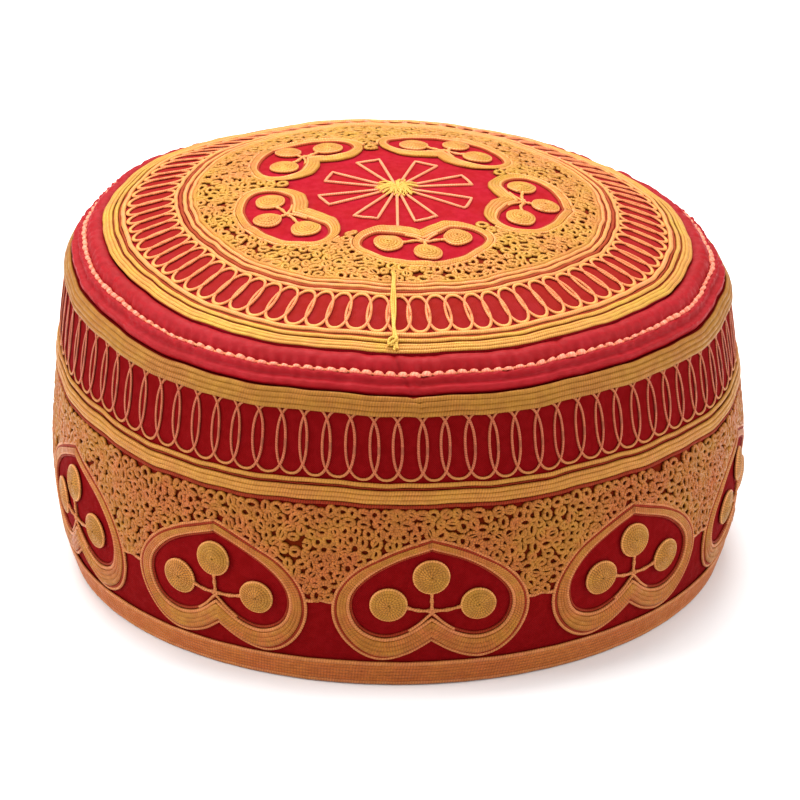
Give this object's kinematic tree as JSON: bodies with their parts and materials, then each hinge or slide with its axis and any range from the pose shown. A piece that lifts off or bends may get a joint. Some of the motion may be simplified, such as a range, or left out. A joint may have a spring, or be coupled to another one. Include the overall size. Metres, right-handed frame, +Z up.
{
  "type": "prayer cap",
  "caption": "Stiff round embroidered prayer cap with a domed crown, a padded seam and a tall side, open underneath for the head.",
  "frame": {"origin": "on the ground at the middle of the hem", "axes": "+Z up through the crown; -Y is the front of the cap, +X is to the right of someone who looks at the front"},
  "size_m": [0.202, 0.1976, 0.113],
  "materials": {
    "side_cloth": "deep red cloth under dense embroidery",
    "crown_cloth": "bright red cloth under dense embroidery",
    "seam_cloth": "plain red padded cloth with a running stitch",
    "gold_thread": "satin gold embroidery thread",
    "hem_gold": "couched orange-gold thread"
  },
  "bodies": {
    "root": {"side_band": "side_cloth", "crown": "crown_cloth", "crown_welt": "seam_cloth", "hem_binding": "hem_gold", "rim_braid": "gold_thread", "shoulder_braid": "gold_thread", "belt_braid": "gold_thread", "side_heart_01": "gold_thread", "side_heart_02": "gold_thread", "side_heart_03": "gold_thread", "side_heart_04": "gold_thread", "side_heart_05": "gold_thread", "side_heart_06": "gold_thread", "side_heart_07": "gold_thread", "side_heart_08": "gold_thread", "side_heart_09": "gold_thread", "side_heart_10": "gold_thread", "crown_heart_1": "gold_thread", "crown_heart_2": "gold_thread", "crown_heart_3": "gold_thread", "crown_heart_4": "gold_thread", "crown_heart_5": "gold_thread"}
  },
  "joints": []
}
